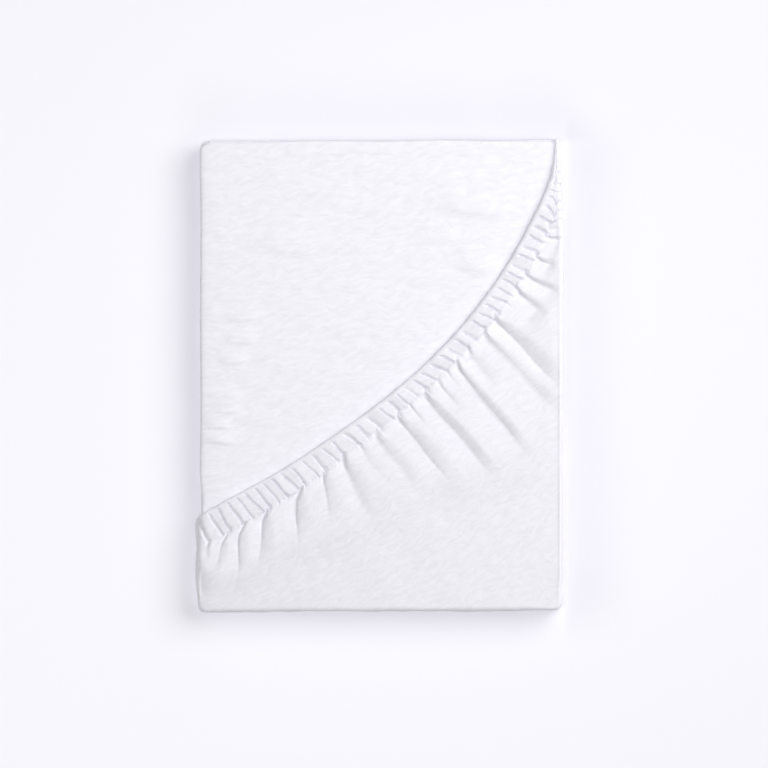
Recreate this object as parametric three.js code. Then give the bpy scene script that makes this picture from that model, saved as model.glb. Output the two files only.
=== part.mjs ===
// A folded mattress protector of brushed cotton, lying flat on its back.
// The mattress panel is folded back and forth into a packet, and one corner of the
// elasticated skirt is pulled over the packet like a pocket and holds it together.
// Units are millimetres: +X is the packet's width, +Y its length, +Z points up from the surface.

import * as THREE from 'three';

// The folded panel: one cloth whose plies are joined by half-round folds at the left and right.
const PANEL = {
  left: -150.7,
  right: 148.5,
  near: -194.5,
  far: 197.2,
  plies: 14,
  cloth: 1.7,
  pitch: 2.1,
  cornerRadius: 6,
};

// The skirt's corner: outer faces of its walls, where its two loose ends stop, and its roundings.
// Its left end slants towards the near side on its way down the wall, as the hem's line goes on.
const SKIRT = {
  left: -152.7,
  right: 152.2,
  near: -197.1,
  leftEnd: -120,
  leftSlant: 0.6,
  rightEnd: 198,
  cloth: 1.5,
  cornerRadius: 6,
  edgeRadius: 3,
  footRadius: 2.5,
};

// Air between the panel and the skirt below it and above it.
const GAP_BELOW = 0.3;
const GAP_ABOVE = 0.5;

// The middle of the packet stands this much higher than its rim.
const CROWN = 1.2;

const PANEL_BOTTOM = SKIRT.cloth + GAP_BELOW;
const PANEL_TOP = PANEL_BOTTOM + (PANEL.plies - 1) * PANEL.pitch + PANEL.cloth;
const SKIRT_TOP = PANEL_TOP + GAP_ABOVE + SKIRT.cloth;

// The folds of the lowest and the highest ply lie this much further in than those of the middle
// plies, and no two plies end quite alike: their folds and their cut ends stray by these lengths.
const SHOULDER = 1.6;
const FOLD_STRAY = 0.7;
const END_STRAY = 1.4;

// The elastic hem runs over the top of the packet on this curve, from its left to its right edge.
const HEM_CURVE = new THREE.CubicBezierCurve(
  new THREE.Vector2(SKIRT.left + SKIRT.edgeRadius, SKIRT.leftEnd),
  new THREE.Vector2(-35, -52),
  new THREE.Vector2(115.5, 41),
  new THREE.Vector2(147.4, 195),
);
const HEM_LENGTH = HEM_CURVE.getLength();

// The hem's casing is drawn up into small ruffles, lowest at the free edge and pinched along the
// casing's inner seam, past which they run out. Each is drawn with a few points across it.
const RUFFLE = {
  count: 50,
  points: 4,
  height: 2.0,
  variation: 0.15,
  edgeShare: 0.7,
  narrowest: 13,
  pinch: 0.6,
  pinchWidth: 3,
  run: 26,
};

// Past the casing the cloth stands up between the gathers, to its full height after a short rise.
const PUFF = { height: 2.4, rise: 7 };

// Round the packet's edge the cloth is drawn tighter: what stands out on top keeps this share there.
// The walls themselves belly out a little at half height.
const WALL_SHARE = 0.55;
const WALL_BELLY = 0.5;

// How the skirt runs away from the hem, by the number of the ruffle counted from the left: the
// ruffle's place along the hem (share of its length), the casing's width and the direction of its
// ruffles in degrees from +X, how far the gathers reach past the casing, and where the cloth meets
// the packet's edge, as a distance along that edge from the near left corner.
const RUN = [
  { ruffle: 0, share: 0.000, casing: 21.0, lean: -90, reach: 20, lands: 0 },
  { ruffle: 2, share: 0.037, casing: 21.0, lean: -70, reach: 34, lands: 17 },
  { ruffle: 6, share: 0.120, casing: 22.0, lean: -52, reach: 45, lands: 53 },
  { ruffle: 10, share: 0.196, casing: 22.0, lean: -44, reach: 45, lands: 96 },
  { ruffle: 12, share: 0.248, casing: 21.0, lean: -41, reach: 48, lands: 146 },
  { ruffle: 14, share: 0.287, casing: 20.0, lean: -40, reach: 52, lands: 217 },
  { ruffle: 17, share: 0.371, casing: 19.0, lean: -38, reach: 58, lands: 287 },
  { ruffle: 19, share: 0.418, casing: 19.0, lean: -37, reach: 70, lands: 328 },
  { ruffle: 25, share: 0.543, casing: 18.0, lean: -34, reach: 92, lands: 406 },
  { ruffle: 30, share: 0.652, casing: 17.0, lean: -30, reach: 76, lands: 493 },
  { ruffle: 34, share: 0.730, casing: 16.0, lean: -27, reach: 38, lands: 558 },
  { ruffle: 40, share: 0.845, casing: 13.0, lean: -20, reach: 16, lands: 629 },
  { ruffle: 46, share: 0.946, casing: 4.5, lean: -12, reach: 12, lands: 677 },
  { ruffle: 50, share: 1.000, casing: 0.6, lean: 0, reach: 10, lands: 702 },
];

// The gathers: the ruffle that each starts under, how deep it cuts into the puffed cloth, and how
// far it reaches past the casing. Each is steep on its left side and slopes up slowly on its right.
const GATHER_SIDES = { steep: 0.35, slope: 0.9 };
const GATHERS = [
  { ruffle: 0.5, depth: 0.6, reach: 14 },
  { ruffle: 2.0, depth: 0.8, reach: 30 },
  { ruffle: 3.5, depth: 1.0, reach: 42 },
  { ruffle: 5.5, depth: 1.0, reach: 45 },
  { ruffle: 9.0, depth: 1.0, reach: 40 },
  { ruffle: 11.5, depth: 0.9, reach: 50 },
  { ruffle: 13.5, depth: 1.0, reach: 56 },
  { ruffle: 15.0, depth: 0.6, reach: 52 },
  { ruffle: 16.5, depth: 0.9, reach: 62 },
  { ruffle: 18.5, depth: 1.0, reach: 74 },
  { ruffle: 19.5, depth: 0.5, reach: 28 },
  { ruffle: 21.5, depth: 0.9, reach: 90 },
  { ruffle: 23.0, depth: 0.5, reach: 32 },
  { ruffle: 25.0, depth: 1.0, reach: 98 },
  { ruffle: 27.0, depth: 0.7, reach: 40 },
  { ruffle: 28.5, depth: 0.9, reach: 94 },
  { ruffle: 30.5, depth: 1.0, reach: 80 },
  { ruffle: 33.5, depth: 0.9, reach: 40 },
  { ruffle: 35.5, depth: 0.8, reach: 34 },
  { ruffle: 37.5, depth: 0.7, reach: 24 },
  { ruffle: 39.0, depth: 0.6, reach: 16 },
];

// A smooth number from -1 to 1 that never repeats evenly, for the small irregularities of cloth.
function uneven(value) {
  return Math.sin(2.3 * value + 1.7 * Math.sin(1.1 * value));
}

// Reads one column of a table at a place in another column, on straight lines between its rows.
function readTable(table, key, place, column) {
  const found = table.findIndex((row) => row[key] >= place);
  const above = found < 0 ? table.length - 1 : Math.max(1, found);
  const from = table[above - 1];
  const to = table[above];
  const part = THREE.MathUtils.clamp((place - from[key]) / (to[key] - from[key]), 0, 1);
  return THREE.MathUtils.lerp(from[column], to[column], part);
}

// The crown of the packet at a point of its plan.
function crownAt(x, y) {
  const across = Math.max(0, 1 - (x / SKIRT.right) ** 2);
  const along = Math.max(0, 1 - (y / SKIRT.near) ** 2);
  return CROWN * across * along;
}

// The centre line of the panel's folds as stations { x, z, nx, nz }, from its lowest ply up.
// Even plies run to the left and odd plies to the right; a half circle joins each to the next.
function foldStations() {
  const turnRadius = PANEL.pitch / 2;
  const leftTurn = PANEL.left + turnRadius + PANEL.cloth / 2;
  const rightTurn = PANEL.right - turnRadius - PANEL.cloth / 2;
  const plySteps = 3;
  const turnSteps = 5;
  const stations = [];
  for (let ply = 0; ply < PANEL.plies; ply += 1) {
    const toLeft = ply % 2 === 0;
    const start = toLeft ? rightTurn : leftTurn;
    const end = toLeft ? leftTurn : rightTurn;
    const heading = toLeft ? -1 : 1;
    const z = PANEL_BOTTOM + PANEL.cloth / 2 + ply * PANEL.pitch;
    for (let step = 0; step <= plySteps; step += 1) {
      stations.push({ x: THREE.MathUtils.lerp(start, end, step / plySteps), z, nx: 0, nz: heading });
    }
    const isLast = ply === PANEL.plies - 1;
    for (let step = 1; step < turnSteps && !isLast; step += 1) {
      const angle = (Math.PI * step) / turnSteps;
      const side = heading * Math.sin(angle);
      const rise = -Math.cos(angle);
      stations.push({
        x: end + turnRadius * side,
        z: z + turnRadius * (1 + rise),
        nx: -heading * side,
        nz: -heading * rise,
      });
    }
  }
  return stations;
}

// Places along the panel's length: close together in its rounded corners, wide apart between them.
function lengthStations() {
  const middle = (PANEL.near + PANEL.far) / 2;
  const half = (PANEL.far - PANEL.near) / 2;
  const fromEnd = [0, 1.6, PANEL.cornerRadius, half * 0.5, half];
  const nearHalf = fromEnd.map((inset) => inset - half);
  const farHalf = fromEnd.slice(0, -1).reverse().map((inset) => half - inset);
  return { middle, half, places: [...nearHalf, ...farHalf] };
}

// The panel is a flat box of cloth, bent along its fold stations.
function foldedPanelGeometry() {
  const folds = foldStations();
  const { middle, half, places } = lengthStations();
  const foldSteps = folds.length - 1;
  const lengthSteps = places.length - 1;
  const geometry = new THREE.BoxGeometry(foldSteps, lengthSteps, 2, foldSteps, lengthSteps, 1);
  const position = geometry.attributes.position;
  const centreX = (PANEL.left + PANEL.right) / 2;
  const halfWidth = (PANEL.right - PANEL.left) / 2;
  const stackMiddle = (PANEL_BOTTOM + PANEL_TOP) / 2;
  const stackHalf = (PANEL_TOP - PANEL_BOTTOM) / 2;
  for (let i = 0; i < position.count; i += 1) {
    const fold = folds[Math.round(position.getX(i) + foldSteps / 2)];
    const place = places[Math.round(position.getY(i) + lengthSteps / 2)];
    const toFace = (position.getZ(i) * PANEL.cloth) / 2;
    const intoCorner = Math.max(0, Math.abs(place) - (half - PANEL.cornerRadius));
    const cornerInset = PANEL.cornerRadius - Math.sqrt(PANEL.cornerRadius ** 2 - intoCorner ** 2);
    const fromMiddle = (fold.z - stackMiddle) / stackHalf;
    const foldStray = (FOLD_STRAY * (1 + uneven(1.3 * fold.z))) / 2;
    const endStray = (END_STRAY * (1 + uneven(0.9 * fold.z))) / 2;
    const narrowing = 1 - (cornerInset + SHOULDER * fromMiddle ** 4 + foldStray) / halfWidth;
    const shortening = 1 - endStray / half;
    const x = centreX + (fold.x + fold.nx * toFace - centreX) * narrowing;
    const y = middle + place * shortening;
    const z = fold.z + fold.nz * toFace;
    position.setXYZ(i, x, y, z + (crownAt(x, y) * z) / PANEL_TOP);
  }
  return geometry;
}

// A thin cloth built from rows of points: its outer face first, then its whole thickness.
class ClothSheet {
  constructor() {
    this.points = [];
    this.normals = [];
    this.faces = [];
  }

  // Adds a point of the outer face with the direction that the face looks in there.
  addPoint(position, normal) {
    this.points.push(position);
    this.normals.push(normal.clone().normalize());
    return this.points.length - 1;
  }

  // Fills the band between two rows, whose entries { index, place } are ordered by place.
  bridge(inner, outer) {
    let a = 0;
    let b = 0;
    while (a < inner.length - 1 || b < outer.length - 1) {
      const outerDone = b === outer.length - 1;
      const innerNext = a < inner.length - 1 && (outerDone || inner[a + 1].place <= outer[b + 1].place);
      const third = innerNext ? inner[a + 1] : outer[b + 1];
      this.addFace(inner[a].index, outer[b].index, third.index);
      a += innerNext ? 1 : 0;
      b += innerNext ? 0 : 1;
    }
  }

  addFace(a, b, c) {
    if (a !== b && b !== c && c !== a) {
      this.faces.push([a, b, c]);
    }
  }

  // Gives the cloth its thickness: an inner face, and a rim along each edge that only one face has.
  toGeometry(thickness) {
    const count = this.points.length;
    const vertices = this.points.flatMap((point) => point.toArray());
    this.points.forEach((point, i) => {
      vertices.push(...point.clone().addScaledVector(this.normals[i], -thickness).toArray());
    });
    const edges = new Set(this.faces.flatMap(([a, b, c]) => [`${a} ${b}`, `${b} ${c}`, `${c} ${a}`]));
    const triangles = [];
    for (const [a, b, c] of this.faces) {
      triangles.push(a, b, c, count + a, count + c, count + b);
    }
    for (const edge of edges) {
      const [a, b] = edge.split(' ').map(Number);
      if (!edges.has(`${b} ${a}`)) {
        triangles.push(a, count + a, b, b, count + a, count + b);
      }
    }
    const geometry = new THREE.BufferGeometry();
    geometry.setAttribute('position', new THREE.Float32BufferAttribute(vertices, 3));
    geometry.setIndex(triangles);
    return geometry;
  }
}

// How far the skirt's cloth stands out, by the number of the ruffle and the distance from the hem.
function standOut(ruffle, away) {
  const casing = Math.max(RUFFLE.narrowest, readTable(RUN, 'ruffle', ruffle, 'casing'));
  const reach = readTable(RUN, 'ruffle', ruffle, 'reach');
  const past = away - casing;
  const height = RUFFLE.height * (1 - RUFFLE.variation * (1 - uneven(Math.round(ruffle))));
  const wave = (1 - Math.cos(2 * Math.PI * ruffle)) / 2;
  const overCasing = Math.sin((Math.PI * Math.min(away, casing)) / casing);
  const swelling = THREE.MathUtils.lerp(RUFFLE.edgeShare, 1, overCasing);
  const pinched = 1 - RUFFLE.pinch * Math.exp(-((past / RUFFLE.pinchWidth) ** 2));
  const fading = 1 - THREE.MathUtils.smoothstep(past, 0, RUFFLE.run);
  const rising = THREE.MathUtils.smoothstep(past, 0, PUFF.rise);
  const settling = 1 - THREE.MathUtils.smoothstep(past, PUFF.rise, PUFF.rise + reach);
  const cuts = GATHERS.map((gather) => {
    const across = ruffle - gather.ruffle;
    const side = across < 0 ? GATHER_SIDES.steep : GATHER_SIDES.slope;
    const running = 1 - THREE.MathUtils.smoothstep(past, gather.reach / 2, gather.reach);
    return gather.depth * running * Math.exp(-((across / side) ** 2));
  });
  const puff = PUFF.height * rising * settling * (1 - Math.max(...cuts));
  return height * wave * swelling * pinched * fading + puff;
}

// The packet's edge in plan, as the outer face of the skirt's walls: down the left side from the
// skirt's loose end, along the near side and up the right side.
function edgePath() {
  const { left, right, near, leftEnd, rightEnd, cornerRadius } = SKIRT;
  const path = new THREE.Path();
  path.moveTo(left, leftEnd);
  path.lineTo(left, near + cornerRadius);
  path.absarc(left + cornerRadius, near + cornerRadius, cornerRadius, Math.PI, 1.5 * Math.PI, false);
  path.lineTo(right - cornerRadius, near);
  path.absarc(right - cornerRadius, near + cornerRadius, cornerRadius, -0.5 * Math.PI, 0, false);
  path.lineTo(right, rightEnd);
  return path;
}

const EDGE = edgePath();
const EDGE_LENGTH = EDGE.getLength();
const LEFT_RUN = SKIRT.leftEnd - (SKIRT.near + SKIRT.cornerRadius);
const CORNER_RUN = (Math.PI / 2) * SKIRT.cornerRadius;
const NEAR_RUN = SKIRT.right - SKIRT.left - 2 * SKIRT.cornerRadius;

// A place on the packet's edge: its point on the outer face and the direction it looks in.
function edgeStation(distance) {
  const part = THREE.MathUtils.clamp(distance / EDGE_LENGTH, 0, 1);
  const point = EDGE.getPoint(part);
  const tangent = EDGE.getTangent(part);
  return { point, outward: new THREE.Vector3(tangent.y, -tangent.x, 0) };
}

// The skirt's section at the packet's edge, from the top round the edge, down the wall and round
// the foot: how far each point lies inside the wall's face, its height, its normal's tilt from
// straight up, and its distance from the top.
function wallSection() {
  const { edgeRadius, footRadius } = SKIRT;
  const wallTop = SKIRT_TOP - edgeRadius;
  const section = [];
  let run = 0;
  for (const tilt of [0, 45, 90]) {
    const angle = THREE.MathUtils.degToRad(tilt);
    run = edgeRadius * angle;
    section.push({
      inset: edgeRadius * (1 - Math.sin(angle)),
      z: wallTop + edgeRadius * Math.cos(angle),
      angle,
      run,
    });
  }
  const wallSteps = 5;
  for (let step = 1; step <= wallSteps; step += 1) {
    const z = THREE.MathUtils.lerp(wallTop, footRadius, step / wallSteps);
    section.push({ inset: 0, z, angle: Math.PI / 2, run: run + wallTop - z });
  }
  for (const tilt of [135, 180]) {
    const angle = THREE.MathUtils.degToRad(tilt);
    section.push({
      inset: footRadius * (1 - Math.sin(angle)),
      z: footRadius * (1 + Math.cos(angle)),
      angle,
      run: run + wallTop - footRadius + footRadius * (angle - Math.PI / 2),
    });
  }
  return section;
}

// A point of the skirt's wall: the section placed at a station of the edge, standing out by the
// ruffles there and by the wall's belly, both of which end above the rounded foot.
function wallPoint(distance, row, ruffled) {
  const { point, outward } = edgeStation(distance);
  const sideways = Math.sin(row.angle);
  const normal = outward.clone().multiplyScalar(sideways).setZ(Math.cos(row.angle));
  const base = new THREE.Vector3(point.x, point.y, row.z).addScaledVector(outward, -row.inset);
  const kept = THREE.MathUtils.lerp(1, WALL_SHARE, sideways);
  const unevenBelly = WALL_BELLY * sideways * (1 + uneven(distance / 45));
  const belly = unevenBelly * Math.sin((Math.PI * row.z) / SKIRT_TOP);
  const aboveFoot = row.angle > Math.PI / 2 ? 0 : THREE.MathUtils.smoothstep(row.z, 0, SKIRT_TOP / 2);
  return { position: base.addScaledVector(normal, (kept * ruffled + belly) * aboveFoot), normal };
}

// One column of the skirt's top: from the hem across the casing, then on to the packet's edge.
function topColumn(ruffle) {
  const hem = HEM_CURVE.getPointAt(readTable(RUN, 'ruffle', ruffle, 'share'));
  const casing = readTable(RUN, 'ruffle', ruffle, 'casing');
  const lean = THREE.MathUtils.degToRad(readTable(RUN, 'ruffle', ruffle, 'lean'));
  const seam = new THREE.Vector2(Math.cos(lean), Math.sin(lean)).multiplyScalar(casing).add(hem);
  const station = edgeStation(LEFT_RUN + readTable(RUN, 'ruffle', ruffle, 'lands'));
  const rim = new THREE.Vector2(station.outward.x, station.outward.y);
  rim.multiplyScalar(-SKIRT.edgeRadius).add(station.point);
  return { ruffle, hem, seam, rim, casing, length: casing + seam.distanceTo(rim) };
}

// Distances of the top's rows from the hem: three steps over the casing, then wider ones.
const CASING_STEPS = [0, 0.3, 0.65, 1];
const SKIRT_STEPS = [6, 14, 27, 44];
const TOP_ROWS = CASING_STEPS.length + SKIRT_STEPS.length;

function rowDistance(column, row) {
  const past = SKIRT_STEPS[row - CASING_STEPS.length] ?? 0;
  const wanted = column.casing * (CASING_STEPS[row] ?? 1) + past;
  return Math.min(wanted, (column.length * row) / TOP_ROWS);
}

// A point of the skirt's top, at a distance from the hem along its column.
function topPoint(column, away) {
  const onCasing = away <= column.casing;
  const start = onCasing ? column.hem : column.seam;
  const end = onCasing ? column.seam : column.rim;
  const part = onCasing ? away / column.casing : (away - column.casing) / (column.length - column.casing);
  const plan = start.clone().lerp(end, part);
  const ruffled = standOut(column.ruffle, away);
  return new THREE.Vector3(plan.x, plan.y, SKIRT_TOP + crownAt(plan.x, plan.y) + ruffled);
}

// The ruffle numbers at which the packet's edge gets a point: every ruffle on the long reaches,
// every half ruffle where the hem runs close to the edge, and three more in each rounded corner.
function rimRuffles() {
  const closeToEdge = 0.7 * RUFFLE.count;
  const ruffles = [];
  for (let half = 0; half <= 2 * RUFFLE.count; half += 1) {
    if (half % 2 === 0 || half / 2 > closeToEdge) {
      ruffles.push(half / 2);
    }
  }
  for (const corner of [0, CORNER_RUN + NEAR_RUN]) {
    for (const part of [0.34, 0.67, 1]) {
      ruffles.push(readTable(RUN, 'lands', corner + part * CORNER_RUN, 'ruffle'));
    }
  }
  return ruffles.sort((a, b) => a - b);
}

// The skirt's corner: its top with the casing and the gathers, its walls and its flat back.
function gatheredSkirtGeometry() {
  const sheet = new ClothSheet();
  const section = wallSection();
  const samples = RUFFLE.count * RUFFLE.points;
  const upright = new THREE.Vector3(0, 0, 1);

  const columns = new Map();
  const columnAt = (ruffle) => {
    if (!columns.has(ruffle)) {
      columns.set(ruffle, topColumn(ruffle));
    }
    return columns.get(ruffle);
  };

  // The left wall, which has no top of its own: a column of points below each row of the top.
  const first = columnAt(0);
  const leftAways = [];
  for (let row = 0; row < TOP_ROWS; row += 1) {
    leftAways.push(rowDistance(first, row));
  }
  const firstRuffleWidth = (RUN[1].share * HEM_LENGTH) / RUN[1].ruffle;

  // The points round the packet's edge, one row for each level of the wall's section.
  const ruffles = rimRuffles();
  const wallRows = section.map((level) => {
    const onLeft = leftAways.map((away) => {
      const place = away / LEFT_RUN - 1;
      const ruffled = standOut(-level.run / firstRuffleWidth, away);
      const slanted = away - SKIRT.leftSlant * level.run * place;
      const { position, normal } = wallPoint(slanted, level, ruffled);
      return { index: sheet.addPoint(position, normal), place };
    });
    const onRest = ruffles.map((ruffle) => {
      const ruffled = standOut(ruffle, columnAt(ruffle).length + level.run);
      const distance = LEFT_RUN + readTable(RUN, 'ruffle', ruffle, 'lands');
      const { position, normal } = wallPoint(distance, level, ruffled);
      return { index: sheet.addPoint(position, normal), place: ruffle };
    });
    return [...onLeft, ...onRest];
  });
  for (let level = 1; level < wallRows.length; level += 1) {
    sheet.bridge(wallRows[level - 1], wallRows[level]);
  }

  // The top's rows: all samples over the casing, half of them past it, then the packet's edge.
  const rim = wallRows[0];
  const topRows = leftAways.map((_, row) => {
    const every = row < CASING_STEPS.length ? 1 : 2;
    const entries = [{ index: rim[row].index, place: 0 }];
    for (let i = every; i <= samples; i += every) {
      const column = columnAt(i / RUFFLE.points);
      const point = topPoint(column, rowDistance(column, row));
      entries.push({ index: sheet.addPoint(point, upright), place: column.ruffle });
    }
    return entries;
  });
  topRows.push(rim.slice(leftAways.length));
  for (let row = 1; row < topRows.length; row += 1) {
    sheet.bridge(topRows[row - 1], topRows[row]);
  }

  // The flat back, from the foot of the walls to its own free edges at the far and left sides.
  const down = new THREE.Vector3(0, 0, -1);
  const foot = wallRows[wallRows.length - 1];
  const round = SKIRT.cornerRadius;
  const farLeft = [
    [PANEL.left + round, SKIRT.rightEnd],
    [PANEL.left + 0.3 * round, SKIRT.rightEnd - 0.3 * round],
    [PANEL.left, SKIRT.rightEnd - round],
  ];
  const backCorner = farLeft.map(([x, y]) => sheet.addPoint(new THREE.Vector3(x, y, 0), down));
  const outline = [...foot.map((entry) => entry.index), ...backCorner];
  const contour = outline.map((index) => sheet.points[index]);
  const plan = contour.map((point) => new THREE.Vector2(point.x, point.y));
  for (const corners of THREE.ShapeUtils.triangulateShape(plan, [])) {
    const [a, b, c] = corners.map((corner) => plan[corner]);
    const turn = (b.x - a.x) * (c.y - a.y) - (b.y - a.y) * (c.x - a.x);
    const ordered = turn < 0 ? corners : [...corners].reverse();
    sheet.addFace(...ordered.map((corner) => outline[corner]));
  }
  return sheet.toGeometry(SKIRT.cloth);
}

// Bleached white cotton, brushed matt.
function brushedCotton() {
  return new THREE.MeshStandardMaterial({ color: 0xf3f2f7, roughness: 0.95, metalness: 0 });
}

const foldedPanel = new THREE.Mesh(foldedPanelGeometry(), brushedCotton());
foldedPanel.name = 'folded_panel';

const gatheredSkirt = new THREE.Mesh(gatheredSkirtGeometry(), brushedCotton());
gatheredSkirt.name = 'gathered_skirt';

const protector = new THREE.Group();
protector.add(foldedPanel, gatheredSkirt);

export default protector;
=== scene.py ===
import bpy
import numpy as np
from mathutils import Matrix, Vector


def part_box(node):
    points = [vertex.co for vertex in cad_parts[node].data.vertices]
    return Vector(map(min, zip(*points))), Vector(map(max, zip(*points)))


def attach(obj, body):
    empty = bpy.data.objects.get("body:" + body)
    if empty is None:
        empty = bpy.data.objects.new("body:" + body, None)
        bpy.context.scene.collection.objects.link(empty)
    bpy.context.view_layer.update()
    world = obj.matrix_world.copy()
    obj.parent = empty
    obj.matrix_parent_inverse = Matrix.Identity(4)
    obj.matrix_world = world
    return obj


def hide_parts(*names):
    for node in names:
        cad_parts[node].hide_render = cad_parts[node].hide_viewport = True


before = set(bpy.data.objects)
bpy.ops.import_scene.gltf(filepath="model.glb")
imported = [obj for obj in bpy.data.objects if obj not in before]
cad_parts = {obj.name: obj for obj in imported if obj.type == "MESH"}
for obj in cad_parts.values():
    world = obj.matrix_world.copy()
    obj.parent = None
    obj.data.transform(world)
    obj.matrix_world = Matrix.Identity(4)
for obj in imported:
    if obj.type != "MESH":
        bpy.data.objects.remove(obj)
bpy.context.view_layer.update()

# The mattress panel. One cloth of bleached molton, a cotton woven plain and brushed on both sides,
# folded back and forth into a flat packet of fourteen plies. Its cut ends lie at the near and the
# far side, and its top ply shows, with the small creases that its folding pressed into it.

# Sizes are in millimetres, and MM turns them into the scene's metres.
MM = 0.001
PLIES = 14
PLY_PITCH = 2.1
PANEL_CLOTH = 1.6
PANEL_SIDE = 150.7
PLAN_CORNER = 6.0
PANEL_LOW, PANEL_HIGH = (np.array(corner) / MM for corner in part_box("folded_panel"))
SKIRT_LOW, SKIRT_HIGH = (np.array(corner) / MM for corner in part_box("gathered_skirt"))
PACKET_HALF = (SKIRT_HIGH - SKIRT_LOW)[:2] / 2
STACK_TOP = PANEL_LOW[2] + (PLIES - 1) * PLY_PITCH + PANEL_CLOTH

# The mesh's stations across the top ply, across each other ply, round a fold and along the packet,
# and the steps round a cloth's free edge.
TOP_STATIONS, PLY_STATIONS, FOLD_STATIONS, LENGTH_STATIONS = 110, 4, 7, 196
EDGE_STEPS = 5

# What pressing and handling did to the packet: its middle stands up, its left side and its near and
# far sides sink, its near left corner sinks most, and its near and far sides run a little askew.
# Each sinking is a share of the height, with the distance over which it fades.
CROWN = 1.2
LEFT_SINK, LEFT_SINK_REACH = 0.075, 5.0
END_SINK, END_SINK_REACH = 0.018, 5.0
CORNER_SINK, CORNER_SINK_REACH = 0.10, 75.0
SKEW = 0.004

# The elastic draws the far right corner in: how far, from which place on and over what distance.
DRAWN_IN, DRAWN_FROM, DRAWN_OVER = 2.6, (143, 100), (10, 80)

# The upper plies' folds hang over at the left: how far, at which ply most, fading over how many
# plies, and from where along the packet.
TOP_OVERHANG, OVERHANG_PLY, OVERHANG_PLIES, OVERHANG_FROM = 2.0, 12.5, 1.6, -108

# How far folds and cut ends stray inwards: usually, unevenly and at most. Then how far the lowest
# and highest folds draw back, how far plies lift, and the top ply's hollows.
FOLD_STRAY, END_STRAY = (0.5, 0.3, 1.2), (0.8, 0.45, 2)
SHOULDER = 0.9
PLY_LIFT = 0.06
WIDE_HOLLOWS, SMALL_HOLLOWS, HOLLOW_SINK = 0.13, 0.035, 0.15

# The creases of the top ply: both ends of the ridge in plan, the half width of its steep near side
# and its height. The far side is several times wider. A ridge wanders along its line in waves, and
# fades out over a share of its length at each end.
CREASE_FAR_SIDE = 5
CREASE_WANDER, CREASE_WAVE = 1.2, 9
CREASE_FADE = 0.4
CREASES = np.array([
    (-134, 49.5, -98, 49.5, 2.2, 1.15),
    (-136, 29.5, -101, 31.5, 2.4, 1.25),
    (-141, 13.6, -110, 13.6, 2.0, 1.4),
    (-148, -15.0, -118, -15.0, 2.0, 0.6),
    (-144, -30.8, -114, -29.6, 2.0, 1.2),
    (-150, -43.9, -124, -42.6, 1.8, 1.6),
    (-150, -55.2, -122, -56.4, 1.7, 1.7),
    (-147, -91.0, -114, -104.0, 3.0, 0.7),
    (30, 143.0, 120, 137.0, 5.0, 2.2),
    (-114, 106.6, -40, 106.6, 4.0, 1.5),
    (58, 92.0, 106, 89.5, 3.6, 1.6),
    (74, 80.5, 106, 79.5, 3.0, 0.5),
    (22, 117.0, 70, 112.0, 4.0, 0.8),
    (-103, 188.5, 140, 188.5, 1.8, 0.5),
])


def sways(places, waves, height, seed):
    """Unevenness of cloth: the sum of sine waves with random lengths, directions and starts.
    waves gives, for each coordinate, the shortest and the longest wave in millimetres."""
    random = np.random.default_rng(seed)
    count = 14
    total = 0
    for _ in range(count):
        phase = random.uniform(0, 2 * np.pi)
        for place, (short, long) in zip(places, waves):
            phase = phase + 2 * np.pi * place / random.uniform(short, long) * random.choice([-1, 1])
        total = total + np.sin(phase)
    return height * total / np.sqrt(count / 2)


def soft_step(value):
    """Rises smoothly from 0 to 1 while value goes from 0 to 1."""
    value = np.clip(value, 0, 1)
    return value * value * (3 - 2 * value)


def packet_form(x, y, z):
    """Moves flat cloth at a height to where the pressed packet has it: up by the crown, which
    falls off as a parabola each way, and down near the rim, which fades exponentially inwards.
    Both are in proportion to the height. The far right corner is drawn in by the elastic."""
    drawn = soft_step((y - DRAWN_FROM[1]) / DRAWN_OVER[1])
    x = x - DRAWN_IN * drawn * soft_step((x - DRAWN_FROM[0]) / DRAWN_OVER[0])
    across = np.clip(1 - (x / PACKET_HALF[0]) ** 2, 0, 1)
    along = np.clip(1 - (y / PACKET_HALF[1]) ** 2, 0, 1)
    sink = LEFT_SINK * np.exp(-np.clip(PACKET_HALF[0] + x, 0, None) / LEFT_SINK_REACH)
    sink = sink + END_SINK * np.exp(-np.clip(PACKET_HALF[1] - np.abs(y), 0, None) / END_SINK_REACH)
    from_corner = np.clip(PACKET_HALF[0] + x, 0, None) + np.clip(PACKET_HALF[1] + y, 0, None)
    sink = sink + CORNER_SINK * np.exp(-from_corner / CORNER_SINK_REACH)
    return np.stack([x, y + SKEW * x, z * (1 + CROWN * across * along / STACK_TOP - sink)], -1)


def creased(x, y):
    """How far the creases raise the top ply: for each, a soft ridge whose height falls off with
    the distance from its line as a bell curve, narrow on the near side and wide on the far side,
    and fades out towards both ends of the line."""
    total = 0
    for x0, y0, x1, y1, width, height in CREASES:
        length = np.hypot(x1 - x0, y1 - y0)
        along = ((x - x0) * (x1 - x0) + (y - y0) * (y1 - y0)) / length
        wander = CREASE_WANDER * np.sin(along / CREASE_WAVE + x0)
        across = ((y - y0) * (x1 - x0) - (x - x0) * (y1 - y0)) / length - wander
        fade = CREASE_FADE * length
        ends = soft_step(along / fade) * soft_step((length - along) / fade)
        reach = np.where(across < 0, width, CREASE_FAR_SIDE * width)
        total = total + height * ends * np.exp(-(across / reach) ** 2)
    return total


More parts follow.
